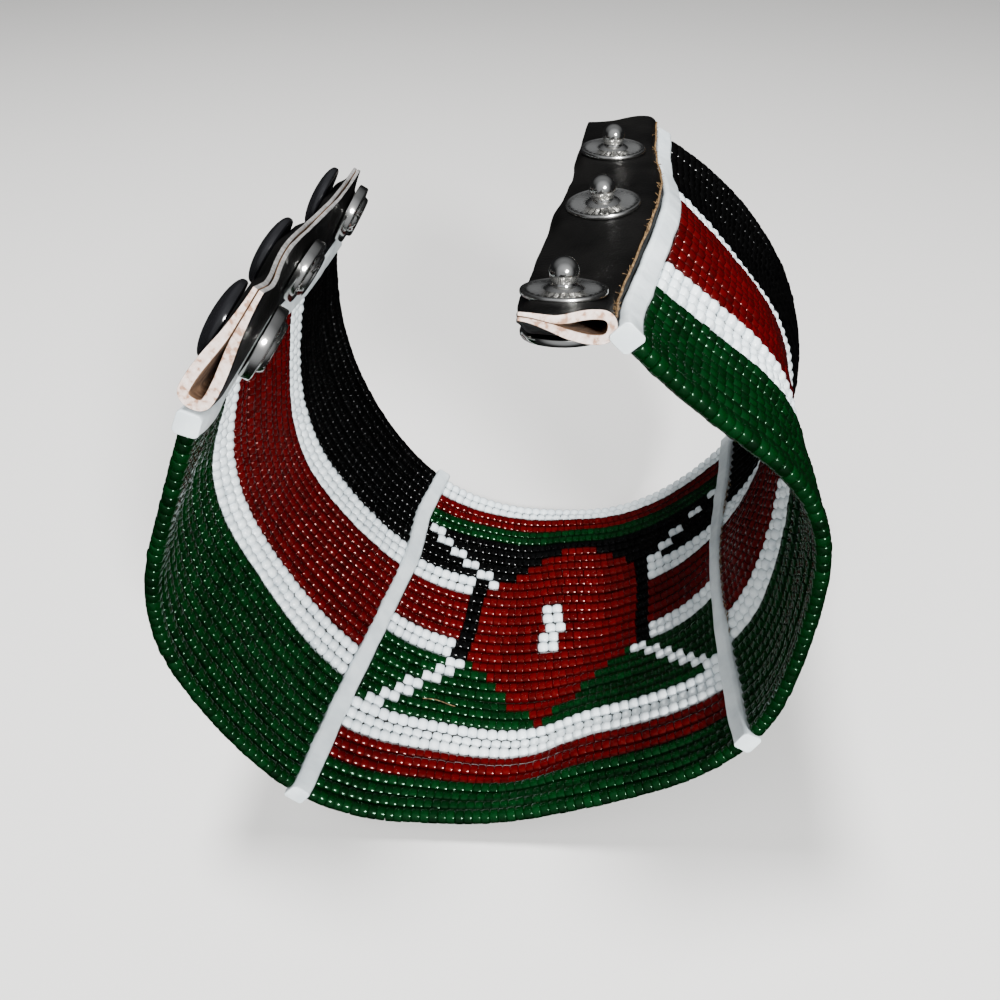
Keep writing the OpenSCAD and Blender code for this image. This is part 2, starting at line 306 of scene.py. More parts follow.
def bead_finish(name, gap_shade_colour, edge_depth_and_shade, dark, clear, roughness, gloss, glint):
    """Glass looks deeper where it is seen through its edge, and no two beads are one shade; on the
    opaque white and black beads that darker edge is painted shade.

    The tone of a point is its bead's shade, less a painted shade where the bead meets the next one."""
    made, mn, ml, shader = plain_material(name, clear, roughness)
    tone_and_shade = mn.new("ShaderNodeAttribute")
    tone_and_shade.attribute_name = "tone_and_shade"
    # The first stop is painted shade for the gaps between beads, the others each bead's own shade
    ramp = colour_ramp(mn, ml, tone_and_shade.outputs["Fac"], [(0, gap_shade_colour), (PAINTED_GAP_SHADE, dark), (1, clear)])
    # Darker where the surface is seen edge on: glass depth on the clear beads, painted shade on the
    # opaque ones
    edge = mn.new("ShaderNodeLayerWeight")
    edge.inputs["Blend"].default_value = 0.45
    deep = mn.new("ShaderNodeMix")
    deep.data_type = "RGBA"
    ml.new(edge.outputs["Facing"], deep.inputs["Factor"])
    ml.new(ramp.outputs["Color"], deep.inputs["A"])
    deep.inputs["B"].default_value = (*edge_depth_and_shade, 1)
    ml.new(deep.outputs["Result"], shader.inputs["Base Color"])
    streak = object_noise(mn, ml, 1300, 2)
    rough = mn.new("ShaderNodeMapRange")
    rough.inputs["To Min"].default_value = roughness * 0.7
    rough.inputs["To Max"].default_value = roughness * 1.5
    ml.new(streak.outputs["Fac"], rough.inputs["Value"])
    ml.new(rough.outputs["Result"], shader.inputs["Roughness"])
    shader.inputs["Specular IOR Level"].default_value = gloss
    shader.inputs["Specular Tint"].default_value = (*glint, 1)
    return made


# The first colour of each kind is painted shade for the gaps between its beads
BEAD_FINISH = {
    "red": bead_finish("red_glass_bead", (0.008, 0, 0), (0.018, 0, 0), (0.042, 0.0, 0.0004),
                       (0.07, 0.0003, 0.001), 0.13, 0.4, (1, 0.5, 0.45)),
    "green": bead_finish("green_glass_bead", (0, 0.0015, 0.0002), (0, 0.0035, 0.0005),
                         (0.0, 0.009, 0.0011), (0.0002, 0.019, 0.0025), 0.13, 0.35,
                         (0.5, 1, 0.65)),
    "black": bead_finish("black_bead", (0, 0, 0), (0, 0, 0), (0.0006, 0.0006, 0.0006),
                         (0.0014, 0.0014, 0.0014), 0.1, 0.12, (1, 1, 1)),
    # The white beads' second colour, at their edges, is painted shade
    "white": bead_finish("white_bead", (0.26, 0.31, 0.35), (0.58, 0.66, 0.7),
                         (0.78, 0.85, 0.88), (0.87, 0.94, 0.96), 0.22, 0.4, (1, 1, 1)),
}
# Length along the strand and radius of each kind, in millimetres
BEAD_SIZE = {"red": (1.27, 1.07), "green": (1.27, 1.07), "black": (1.27, 1.06),
             "white": (1.6, 1.09)}
BEAD_SIDES = 10


def one_bead(name, rounding, fullness):
    """A short tube one long and of radius one, along X, with melted ends.

    Its painted gap shade is 1 where it meets the next bead or strand and 0 on its open face."""
    clear_selection()
    bpy.ops.mesh.primitive_cylinder_add(vertices=BEAD_SIDES, radius=1, depth=1,
                                        rotation=(0, math.pi / 2, 0))
    bead = bpy.context.object
    bead.name = name
    bpy.ops.object.transform_apply(location=True, rotation=True, scale=True)
    bpy.ops.object.mode_set(mode="EDIT")
    bpy.ops.mesh.select_mode(type="EDGE")
    bpy.ops.mesh.select_all(action="DESELECT")
    bpy.ops.object.mode_set(mode="OBJECT")
    for edge in bead.data.edges:
        ends = [bead.data.vertices[v].co for v in edge.vertices]
        edge.select = abs(ends[0].x - ends[1].x) < 0.01
    bpy.ops.object.mode_set(mode="EDIT")
    bpy.ops.mesh.bevel(offset=rounding, segments=2, profile=fullness, affect="EDGES")
    bpy.ops.mesh.select_mode(type="VERT")
    bpy.ops.object.mode_set(mode="OBJECT")
    points = np.array([v.co[:] for v in bead.data.vertices])
    faces = [list(p.vertices) for p in bead.data.polygons]
    bpy.data.objects.remove(bead)
    # Painted shade, darker towards the bead's ends and sides where it meets its neighbours
    at_ends = np.clip((np.abs(points[:, 0]) - 0.4) / 0.1, 0, 1) * min(1, rounding * 2)
    at_sides = np.clip((np.abs(points[:, 2]) - 0.72) / 0.28, 0, 1)
    return points, faces, np.maximum(at_ends, at_sides)


CLEAR_BEAD = one_bead("clear_bead", 0.17, 0.5)
OPAQUE_BEAD = one_bead("opaque_bead", 0.48, 0.52)
BEAD_FORM = {"red": CLEAR_BEAD, "green": CLEAR_BEAD, "black": CLEAR_BEAD,
             "white": OPAQUE_BEAD}
# How much of its room on the strand each kind fills
BEAD_REACH = {"red": 1.04, "green": 1.04, "black": 1.04, "white": 1.03}
# No two beads sit quite alike: how they tilt, turn, differ in size and stray in place
BEAD_TILT = 0.02
BEAD_TURN = 0.06
LENGTH_SPREAD = 0.015
WIDTH_SPREAD = 0.02
PLACE_SPREAD = 0.02
# The strands run a little in and out, and some are sunk between their neighbours by so
# many millimetres, which shows as a half hidden row
WAVE_DEPTH = 0.07
WAVE_STRETCH = 7
SUNK = {"left_panel": {5: 0.12, 9: 0.1, 17: 0.15, 22: 0.2, 30: 0.2, 33: 0.15},
        "centre_panel": {4: 0.15, 25: 0.35, 29: 0.45, 31: 0.25, 33: 0.35, 35: 0.3},
        "right_panel": {6: 0.2, 15: 0.15, 19: 0.2, 25: 0.3, 29: 0.35, 33: 0.3, 35: 0.35}}
# Gap from the last bead to a strip, the steps in which a strand is measured, and how far
# ahead and behind a bead its direction is read
STRIP_GAP = 0.08
STRAND_STEPS = 400
SIGHT = 0.4
chance = np.random.default_rng(37)


def along_line(distance, length, line):
    """The row of a line's table at a distance measured along the line."""
    return np.array([np.interp(distance, length, line[:, k]) for k in range(3)])


def bead_strands(panel, first_strip, last_strip, pattern):
    """Strings every strand of a panel and makes one mesh for each colour of bead."""
    strung = {colour: [] for colour in BEAD_FINISH}
    for row in range(1, STRANDS + 1):
        u = 1 - (row - 0.5) / STRANDS
        start = strip_line(first_strip, u) + STRIP_W / 2 + STRIP_GAP
        stop = strip_line(last_strip, u) - STRIP_W / 2 - STRIP_GAP
        middle = (start + stop) / 2
        s = np.linspace(start, stop, STRAND_STEPS)
        share = (s - start) / (stop - start)
        wave = WAVE_DEPTH * np.sin(s / WAVE_STRETCH + row * 2.4)
        wave = wave - SUNK[panel].get(row, 0) * (4 * share * (1 - share)) ** 0.7
        if panel == "right_panel":
            wave = -wave
        line = band_point(s, u, wave) / MM
        legs = np.linalg.norm(np.diff(line, axis=0), axis=1)
        length = np.concatenate([[0], np.cumsum(legs)])
        heading = band_heading(s, u)
        inwards = np.stack([-np.sin(heading), np.zeros_like(s), np.cos(heading)], 1)
        for colour, begin, end in pattern(row, start - middle, stop - middle):
            a, b = np.interp([begin + middle, end + middle], s, length)
            count = max(1, round((b - a) / BEAD_SIZE[colour][0]))
            for t in a + (np.arange(count) + 0.5) * (b - a) / count:
                ahead = along_line(t + SIGHT, length, line) - along_line(t - SIGHT, length, line)
                strung[colour].append((along_line(t, length, line), ahead,
                                       along_line(t, length, inwards), (b - a) / count))
    for colour, beads in strung.items():
        if beads:
            piece = bead_mesh(f"{panel}_{colour}_beads", colour, beads)
            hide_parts(panel)


def bead_mesh(name, colour, beads):
    """All beads of one colour, from the place, direction, inward side and room of each."""
    count = len(beads)
    at, along, up, room_on_strand = (np.array(column) for column in zip(*beads))
    along += chance.normal(0, BEAD_TILT, (count, 3))
    along /= np.linalg.norm(along, axis=1)[:, None]
    up -= along * (up * along).sum(1)[:, None]
    up /= np.linalg.norm(up, axis=1)[:, None]
    aside = np.cross(along, up)
    turn = chance.normal(0, BEAD_TURN, count)[:, None]
    up, aside = (up * np.cos(turn) + aside * np.sin(turn),
                 aside * np.cos(turn) - up * np.sin(turn))
    long = room_on_strand * chance.normal(BEAD_REACH[colour], LENGTH_SPREAD, count)
    radius = BEAD_SIZE[colour][1] * chance.normal(1, WIDTH_SPREAD, count)
    at += chance.normal(0, PLACE_SPREAD, (count, 3))
    form_points, form_faces, form_gap_shade = BEAD_FORM[colour]
    p = form_points[None, :, :]
    points = (at[:, None, :] + along[:, None, :] * p[..., 0:1] * long[:, None, None]
              + up[:, None, :] * p[..., 1:2] * radius[:, None, None]
              + aside[:, None, :] * p[..., 2:3] * radius[:, None, None]) * MM
    faces = [[v + k * len(form_points) for v in face]
             for k in range(count) for face in form_faces]
    mesh = bpy.data.meshes.new(name)
    mesh.from_pydata(points.reshape(-1, 3).tolist(), [], faces)
    mesh.polygons.foreach_set("use_smooth", [True] * len(mesh.polygons))
    tone_and_shade = mesh.attributes.new("tone_and_shade", "FLOAT", "POINT")
    # Each bead a random shade of its own, less painted shade where it meets its neighbours
    shades = chance.uniform(PAINTED_GAP_SHADE, 1, count)[:, None] - PAINTED_GAP_SHADE * form_gap_shade[None, :]
    tone_and_shade.data.foreach_set("value", shades.ravel())
    mesh.materials.append(BEAD_FINISH[colour])
    mesh.update()
    piece = bpy.data.objects.new(name, mesh)
    bpy.context.scene.collection.objects.link(piece)
    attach(piece, "root")
    return piece


# The two side panels have plain stripes: from the far edge ten black strands, three
# white, ten red, three white and eleven green.
SIDE_STRIPES = [("black", 10), ("white", 3), ("red", 10), ("white", 3), ("green", 11)]


def stripe_colour(stripes, row):
    for colour, count in stripes:
        if row <= count:
            return colour
        row -= count


def side_pattern(row, start, stop):
    return [(stripe_colour(SIDE_STRIPES, row), start, stop)]


# A near-black sheet through the middle of the strands, painted shade seen in the gaps between the
# beads, where the binding thread also runs
WEB_STEPS = 90
WEB_THICKNESS = 0.3
# Painted shade: near black, a little mottled
shade_sheet_finish, mn, ml, shader = plain_material("gap_shade_sheet", (0.006, 0.005, 0.004), 0.9)
shade_mottle = object_noise(mn, ml, 1800, 2)
shade_sheet_tones = colour_ramp(mn, ml, shade_mottle.outputs["Fac"],
                            [(0.3, (0.001, 0.001, 0.001)), (0.7, (0.012, 0.01, 0.008))])
ml.new(shade_sheet_tones.outputs["Color"], shader.inputs["Base Color"])


# Lays a panel's painted-shade sheet along the middle of its strands
def add_shade_sheet(panel, first_strip, last_strip):
    clear_selection()
    bpy.ops.mesh.primitive_grid_add(x_subdivisions=WEB_STEPS, y_subdivisions=STRANDS - 1,
                                    size=1)
    web = bpy.context.object
    web.name = panel + "_gap_shade_sheet"
    for vertex in web.data.vertices:
        u = 0.5 + vertex.co.y * (STRANDS - 1) / STRANDS
        start, stop = strip_line(first_strip, u) + 1, strip_line(last_strip, u) - 1
        vertex.co = band_point(start + (vertex.co.x + 0.5) * (stop - start), u, 0)
    web.data.materials.append(shade_sheet_finish)
    wall = web.modifiers.new("shade_sheet_thickness", "SOLIDIFY")
    wall.thickness = WEB_THICKNESS * MM
    wall.offset = 0
    bpy.ops.object.modifier_apply(modifier="shade_sheet_thickness")
    bpy.ops.object.shade_smooth()
    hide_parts(panel)
    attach(web, "root")


add_shade_sheet("left_panel", LEFT_END, LEFT_SPACER)
add_shade_sheet("right_panel", RIGHT_SPACER, RIGHT_END)
bead_strands("left_panel", LEFT_END, LEFT_SPACER, side_pattern)
bead_strands("right_panel", RIGHT_SPACER, RIGHT_END, side_pattern)

# ---------------------------------------------------------------------------------------
# The middle panel, of the same glass and opaque beads strung on thread between the two
# spacers. It has a red shield with two crossed white spears behind it, on stripes that run
# from white at the far edge to green at the near one.
MIDDLE_STRIPES = [("white", 2), ("red", 2), ("green", 2), ("black", 5), ("white", 2),
                  ("red", 5), ("white", 2), ("green", 7), ("white", 3), ("red", 3),
                  ("green", 4)]
# Each mark's ends on its strands, in millimetres from the middle of the panel
SHIELD = {8: (-3.4, 3.6), 9: (-7.0, 7.2), 10: (-9.4, 10.2), 11: (-11.4, 12.0),
          12: (-14.4, 12.4), 13: (-16.2, 12.6), 14: (-16.3, 12.9), 15: (-16.2, 13.1),
          16: (-16.0, 13.2), 17: (-15.8, 13.2), 18: (-15.8, 13.3), 19: (-15.9, 13.6),
          20: (-16.0, 13.9), 21: (-14.7, 12.0), 22: (-11.8, 9.0), 23: (-9.9, 7.0),
          24: (-7.8, 4.8), 25: (-7.4, 4.2), 26: (-3.2, 0.6), 27: (-2.2, -0.8)}
LEFT_BAR = {12: (-18.9, -16.4), 13: (-18.9, -16.3), 14: (-19.0, -16.4), 15: (-18.8, -16.3),
            16: (-18.6, -16.1), 17: (-18.4, -15.9), 18: (-18.4, -15.9), 19: (-18.6, -16.0),
            20: (-18.9, -16.1)}
RIGHT_BAR = {12: (12.5, 14.9), 13: (12.7, 15.1), 14: (13.0, 15.4), 15: (13.2, 15.6),
             16: (13.3, 15.7), 17: (13.3, 15.8), 18: (13.4, 15.8), 19: (13.7, 16.1),
             20: (14.0, 16.4)}
FIGURE = {15: (-4.9, -1.3), 16: (-4.4, -0.8), 17: (-3.6, 0.0), 18: (-4.4, -0.9),
          19: (-4.1, -0.6)}
LEFT_SPEAR = {7: (-30.7, -27.4), 8: (-28.6, -25.3), 9: (-25.4, -22.1), 10: (-22.4, -19.1),
              11: (-19.2, -15.9), 21: (-19.3, -16.0), 22: (-20.6, -17.3),
              23: (-22.3, -19.0), 24: (-24.9, -21.6), 25: (-25.8, -22.6),
              26: (-27.7, -24.4), 27: (-29.6, -26.4)}
RIGHT_SPEAR = {7: (28.6, 31.0), 8: (24.2, 27.4), 9: (19.7, 22.9), 10: (17.2, 20.4),
               11: (14.7, 18.0), 21: (12.8, 16.0), 22: (15.8, 19.0), 23: (18.2, 21.4),
               24: (20.6, 23.8), 25: (22.8, 26.0), 26: (25.3, 28.5), 27: (27.8, 31.0)}
SHORTEST_RUN = 0.5


def middle_pattern(row, start, stop):
    """The runs of a strand: each mark is laid over what it crosses, the spears lowest."""
    marks = [("white", LEFT_SPEAR), ("black", LEFT_BAR), ("red", SHIELD), ("white", FIGURE),
             ("black", RIGHT_BAR), ("white", RIGHT_SPEAR)]
    runs = [(start, stop, stripe_colour(MIDDLE_STRIPES, row))]
    for colour, chart in marks:
        if row in chart:
            a, b = max(chart[row][0], start), min(chart[row][1], stop)
            sides = [side for x, y, c in runs for side in ((x, min(y, a), c), (max(x, b), y, c))]
            runs = [side for side in sides if side[1] - side[0] > SHORTEST_RUN]
            runs.append((a, b, colour))
    return [(c, x, y) for x, y, c in sorted(runs)]


add_shade_sheet("centre_panel", LEFT_SPACER, RIGHT_SPACER)
bead_strands("centre_panel", LEFT_SPACER, RIGHT_SPACER, middle_pattern)

# ---------------------------------------------------------------------------------------
# Four strips of smooth white plastic, bored for the strands and cut off square. The two
# in the middle keep the strands apart and the two at the ends hold their last knots.


def add_bump(material_nodes, links, shader, height, strength, distance):
    bump = material_nodes.new("ShaderNodeBump")
    bump.inputs["Strength"].default_value = strength
    bump.inputs["Distance"].default_value = distance
    links.new(height, bump.inputs["Height"])
    links.new(bump.outputs["Normal"], shader.inputs["Normal"])


strip_finish, mn, ml, shader = plain_material("white_plastic", (0.72, 0.76, 0.8), 0.32)
patches = object_noise(mn, ml, 260)
shades = colour_ramp(mn, ml, patches.outputs["Fac"],
                     [(0.35, (0.6, 0.67, 0.7)), (0.65, (0.74, 0.81, 0.83))])
ml.new(shades.outputs["Color"], shader.inputs["Base Color"])
shader.inputs["Coat Weight"].default_value = 0.25
shader.inputs["Subsurface Weight"].default_value = 0.15
shader.inputs["Subsurface Radius"].default_value = (0.001, 0.001, 0.001)
waves = object_noise(mn, ml, 380, 2)
add_bump(mn, ml, shader, waves.outputs["Fac"], 0.5, 0.0005)


def clean_copy(node_name, name):
    """A merged copy of a CAD node with four-sided faces, to be finished as a piece."""
    mesh = nodes[node_name].data.copy()
    mesh.materials.clear()
    piece = bpy.data.objects.new(name, mesh)
    bpy.context.scene.collection.objects.link(piece)
    clear_selection()
    piece.select_set(True)
    bpy.context.view_layer.objects.active = piece
    bpy.ops.object.mode_set(mode="EDIT")
    bpy.ops.mesh.select_all(action="SELECT")
    bpy.ops.mesh.remove_doubles(threshold=0.000005)
    bpy.ops.mesh.tris_convert_to_quads(face_threshold=0.6, shape_threshold=0.9)
    bpy.ops.object.mode_set(mode="OBJECT")
    return piece


lumps = bpy.data.textures.new("drawn_plastic", "CLOUDS")
lumps.noise_scale = 5 * MM
for strip_node in ("left_end_strip", "left_spacer", "right_spacer", "right_end_strip"):
    strip = clean_copy(strip_node, strip_node + "_moulded")
    strip.data.materials.append(strip_finish)
    soften = strip.modifiers.new("round_corners", "BEVEL")
    soften.width = 0.16 * MM
    soften.segments = 2
    soften.limit_method = "ANGLE"
    soften.angle_limit = math.radians(28)
    bpy.ops.object.modifier_apply(modifier="round_corners")
    bpy.ops.object.shade_smooth_by_angle(angle=math.radians(40))
    finer = strip.modifiers.new("finer", "SUBSURF")
    finer.subdivision_type = "SIMPLE"
    finer.levels = finer.render_levels = 1
    bpy.ops.object.modifier_apply(modifier="finer")
    pulled = strip.modifiers.new("pulled", "DISPLACE")
    pulled.texture = lumps
    pulled.texture_coords = "LOCAL"
    pulled.strength = 0.4 * MM
    pulled.mid_level = 0.5
    bpy.ops.object.modifier_apply(modifier="pulled")
    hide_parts(strip_node)
    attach(strip, "root")

# ---------------------------------------------------------------------------------------
# Two tabs of black grained leather, each a strip folded double along the end strip. The
# cut edges are raw and pale, and the flesh side shows tan in the hollow of the fold.
grain_finish, mn, ml, shader = plain_material("black_grained_leather",
                                              (0.003, 0.003, 0.003), 0.5)
shader.inputs["Specular IOR Level"].default_value = 0.08
pores = mn.new("ShaderNodeTexVoronoi")
pores.inputs["Scale"].default_value = 2300
where = mn.new("ShaderNodeTexCoord")
ml.new(where.outputs["Object"], pores.inputs["Vector"])
creases = object_noise(mn, ml, 700, 5)
grain = mn.new("ShaderNodeMath")
grain.operation = "MULTIPLY_ADD"
grain.inputs[1].default_value = 0.6
ml.new(pores.outputs["Distance"], grain.inputs[0])
ml.new(creases.outputs["Fac"], grain.inputs[2])
add_bump(mn, ml, shader, grain.outputs["Value"], 0.35, 0.00012)
worn = object_noise(mn, ml, 120, 4)
wear = colour_ramp(mn, ml, worn.outputs["Fac"],
                   [(0.3, (0.0012, 0.0012, 0.0012)), (0.7, (0.0042, 0.004, 0.0038))])
ml.new(wear.outputs["Color"], shader.inputs["Base Color"])


def cut_leather(name, colour, roughness, scale, detail, stops):
    """The leather where its fibres show, mottled and rough."""
    made, mn, ml, shader = plain_material(name, colour, roughness)
    fibre = object_noise(mn, ml, scale, detail)
    mottle = colour_ramp(mn, ml, fibre.outputs["Fac"], stops)
    ml.new(mottle.outputs["Color"], shader.inputs["Base Color"])
    add_bump(mn, ml, shader, fibre.outputs["Fac"], 0.6, 0.0003)
    return made


TAB_FINISHES = [
    grain_finish,
    cut_leather("leather_flesh_side", (0.2, 0.1, 0.05), 0.9, 900, 5,
                [(0.3, (0.1, 0.045, 0.02)), (0.7, (0.3, 0.17, 0.09))]),
    cut_leather("raw_leather_edge", (0.7, 0.52, 0.44), 0.85, 1500, 6,
                [(0.36, (0.4, 0.22, 0.14)), (0.48, (0.72, 0.55, 0.47)),
                 (0.72, (0.86, 0.74, 0.68))]),
    cut_leather("worn_leather_edge", (0.4, 0.39, 0.38), 0.8, 1100, 6,
                [(0.3, (0.1, 0.098, 0.096)), (0.55, (0.22, 0.215, 0.21)),
                 (0.8, (0.33, 0.32, 0.31))]),
]
# The cut sides by their place in that list, where the grained face comes first
FLESH, RAW_EDGE, WORN_EDGE = range(1, 4)

SNAP_SPACING = 26
SNAP_PLACES = [0.48 + k * SNAP_SPACING / BAND_W for k in (-1, 0, 1)]
# Each tab at hundredths of the width: which way it points and which way its fold hangs off
# the strip, in degrees, then its length and how far out its snaps sit, in millimetres
AIM, HANG, LENGTH, SNAP = range(1, 5)
SOCKET_TAB = np.array([(0, 55, 66, 16, 5.4), (50, 57, 72, 14.5, 8), (100, 63, 76, 11.5, 7.6)])
STUD_TAB = np.array([(0, 179, 166, 9.2, 3.0), (50, 186, 162, 13, 4.4), (100, 178, 152, 10.5, 4)])
# The outside of each fold stands so far from the fold's middle
STUD_FOLD = 1.75
SOCKET_FOLD = 1.95
# Gap from fold to strip, share of the sheet that bends, half the height where the fold is
# pressed flat, how full the bend is, gap between the two layers beyond it, and how much
# the leather is thinned by its free edge
FOLD_GAP = 0.15
FOLD_SHARE = 0.24
FOLD_HALF = 1.8
FOLD_FULLNESS = 0.85
LAYER_GAP = 0.04
THINNED = 0.55
# A snap grips the two layers to this half thickness, fully out to its rim and fading beyond
SNAP_GRIP = 1.83
GRIP_FULL, GRIP_END = 5.3, 8.5


def soft_step(low, high, value):
    share = np.clip((value - low) / (high - low), 0, 1)
    return share * share * (3 - 2 * share)


def tab_point(chart, strip, fold_outside, u, x, y):
    """A place on a tab: x from the fold's middle to the free edge, y off the tab's middle."""
    aim = np.radians(across(chart, AIM, u))
    hang = np.radians(across(chart, HANG, u))
    fold_x, fold_y, fold_z = band_line(strip_line(strip, u), u)
    far = math.hypot(STRIP_W / 2, HALF_STRAND) + FOLD_GAP + fold_outside
    fold_x += far * math.cos(hang)
    fold_z += far * math.sin(hang)
    return laid(fold_x + x * math.cos(aim) - y * math.sin(aim), fold_y,
                fold_z + x * math.sin(aim) + y * math.cos(aim))


def folded_tab(name, node_name, chart, strip, fold_outside, leather, end_hollow, fold_press,
               curl):
    """A leather strip folded double: a flat sheet bent round the fold, then made thick.

    It is so thick, its hollow opens so far at the two ends, its fold is pressed in so far,
    and its near corner curls down by so much."""
    clear_selection()
    bpy.ops.mesh.primitive_grid_add(x_subdivisions=56, y_subdivisions=72, size=1)
    tab = bpy.context.object
    tab.name = name
    skive = tab.vertex_groups.new(name="skive")
    for vertex in tab.data.vertices:
        v, u = vertex.co.x + 0.5, vertex.co.y + 0.5
        side = -1 if v < 0.5 else 1
        length = across(chart, LENGTH, u) - fold_outside
        length += 0.06 * math.sin(u * 41) + 0.03 * math.sin(u * 97 + 1)
        ends = 1 - soft_step(0.02, 0.13, u) + soft_step(0.87, 0.98, u)
        hollow = FOLD_HALF - leather + (end_hollow + leather - FOLD_HALF) * ends
        fold_r = hollow + leather / 2
        middle_x = fold_r + leather / 2 - fold_outside - fold_press
        out = abs(v - 0.5) * 2
        if out < FOLD_SHARE:
            turn = out / FOLD_SHARE * math.pi / 2
            x = middle_x - fold_r * math.cos(turn) ** FOLD_FULLNESS
            y = fold_r * math.sin(turn) ** FOLD_FULLNESS
            thin = 1
        else:
            share = (out - FOLD_SHARE) / (1 - FOLD_SHARE)
            x = middle_x + (length - middle_x) * share
            thin = 1 - THINNED * soft_step(0.3, 1, share)
            closed = thin * leather / 2 + LAYER_GAP
            drop = 1 - soft_step(0.05, 0.6, share)
            y = closed + (fold_r - closed) * drop
            for place in SNAP_PLACES:
                snap_x = across(chart, SNAP, place)
                away = math.hypot(x - snap_x, (u - place) * BAND_W)
                press = (1 - soft_step(GRIP_FULL, GRIP_END, away)) * (1 - soft_step(0.86, 1, share))
                y += (SNAP_GRIP - thin * leather / 2 - y) * press
        skive.add([vertex.index], thin, "REPLACE")
        lift = curl * (1 - soft_step(0, 0.1, u)) * soft_step(0.3, 1.0, x / length)
        vertex.co = tab_point(chart, strip, fold_outside, u, x, side * y - lift)
    wall = tab.modifiers.new("leather_wall", "SOLIDIFY")
    wall.thickness = leather * MM
    wall.offset = 0
    wall.vertex_group = "skive"
    wall.material_offset = FLESH
    wall.material_offset_rim = RAW_EDGE
    for finish in TAB_FINISHES:
        tab.data.materials.append(finish)
    bpy.ops.object.mode_set(mode="EDIT")
    bpy.ops.mesh.select_all(action="SELECT")
    middle = Vector(tab_point(chart, strip, fold_outside, 0.5, 4, 0))
    face = min(tab.data.polygons, key=lambda f: (f.center - middle).length)
    if face.normal.dot(face.center - middle) < 0:
        bpy.ops.mesh.flip_normals()
    bpy.ops.object.mode_set(mode="OBJECT")
    bpy.ops.object.modifier_apply(modifier="leather_wall")
    soften = tab.modifiers.new("soft_edges", "BEVEL")
    soften.width = 0.14 * MM
    soften.segments = 2
    soften.limit_method = "ANGLE"
    soften.angle_limit = math.radians(55)
    bpy.ops.object.modifier_apply(modifier="soft_edges")
    # The long free edge is rubbed grey, and the two short ends stay pale
    for face in tab.data.polygons:
        if face.material_index == RAW_EDGE and abs(face.normal.y) < 0.6:
            face.material_index = WORN_EDGE
    rounder = tab.modifiers.new("rounding", "SUBSURF")
    rounder.levels = rounder.render_levels = 1
    bpy.ops.object.modifier_apply(modifier="rounding")
    bpy.ops.object.shade_smooth()
    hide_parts(node_name)
    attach(tab, "root")


folded_tab("socket_tab_leather", "socket_tab", SOCKET_TAB, LEFT_END, SOCKET_FOLD, 1.3, 0.75,
           0.3, 0)
folded_tab("stud_tab_leather", "stud_tab", STUD_TAB, RIGHT_END, STUD_FOLD, 1.05, 0.85,
           0.8, 0.9)

# ---------------------------------------------------------------------------------------
# The snaps, stamped from sheet metal and riveted through the leather. Each is turned once
# as a profile and copied to its three seats.


def snap_finish(name, colour, roughness, metallic, scale, detail, low, high):
    """A smooth finish whose roughness drifts between two stops, each a place and a value."""
    made, mn, ml, shader = plain_material(name, colour, roughness, metallic)
    smear = object_noise(mn, ml, scale, detail)
    smears = colour_ramp(mn, ml, smear.outputs["Fac"],
                         [(place, (value, value, value)) for place, value in (low, high)])
    ml.new(smears.outputs["Color"], shader.inputs["Roughness"])
    return made, shader


metal_finish, _ = snap_finish("nickel_plate", (0.66, 0.65, 0.62), 0.2, 1.0, 500, 3,
                              (0.35, 0.1), (0.7, 0.18))
pressed_finish, _ = snap_finish("pressed_nickel", (0.68, 0.67, 0.64), 0.2, 1.0, 800, 3,
                                (0.35, 0.19), (0.7, 0.25))
enamel_finish, shader = snap_finish("black_enamel", (0.006, 0.006, 0.007), 0.12, 0.0, 1200, 2,
                                    (0.4, 0.08), (0.75, 0.2))
shader.inputs["Coat Weight"].default_value = 0.5


def turned(name, profile, steps, finish):
    """A shape turned about Z from a profile of radius and height in millimetres."""
    clear_selection()
    bpy.ops.mesh.primitive_plane_add(size=MM)
    shape = bpy.context.object
    shape.name = name
    bpy.ops.object.mode_set(mode="EDIT")
    bpy.ops.mesh.select_all(action="SELECT")
    bpy.ops.mesh.merge(type="CENTER")
    start = profile[0]
    bpy.ops.transform.translate(value=(start[0] * MM, 0, start[1] * MM))
    for (r0, z0), (r1, z1) in zip(profile, profile[1:]):
        bpy.ops.mesh.extrude_region_move(
            TRANSFORM_OT_translate={"value": ((r1 - r0) * MM, 0, (z1 - z0) * MM)})
    bpy.ops.mesh.select_all(action="SELECT")
    bpy.ops.mesh.spin(steps=steps, angle=2 * math.pi, center=(0, 0, 0), axis=(0, 0, 1))
    bpy.ops.mesh.select_all(action="SELECT")
    bpy.ops.mesh.remove_doubles(threshold=0.000004)
    bpy.ops.mesh.normals_make_consistent(inside=False)
    bpy.ops.object.mode_set(mode="OBJECT")
    shape.data.materials.append(finish)
    return shape


def seat_of(node_name, points_to):
    """Where a snap part sits: the middle of its base, and its axis turned to one side."""
    points = np.array([v.co[:] for v in nodes[node_name].data.vertices])
    points = np.unique(points.round(7), axis=0)
    spread = np.linalg.eigh(np.cov((points - points.mean(0)).T))[1]
    sizes = [np.ptp(points @ spread[:, k]) for k in range(3)]
    rounds = [abs(sizes[(k + 1) % 3] - sizes[(k + 2) % 3]) for k in range(3)]
    axis = spread[:, int(np.argmin(rounds))]
    if axis @ np.array(points_to) < 0:
        axis = -axis
    side = np.cross(axis, (0, 1, 0))
    side /= np.linalg.norm(side)
    other = np.cross(axis, side)
    base = axis * (points @ axis).min()
    for way in (side, other):
        base = base + way * ((points @ way).min() + (points @ way).max()) / 2
    return Matrix([[side[k], other[k], axis[k], base[k]] for k in range(3)] + [[0, 0, 0, 1]])


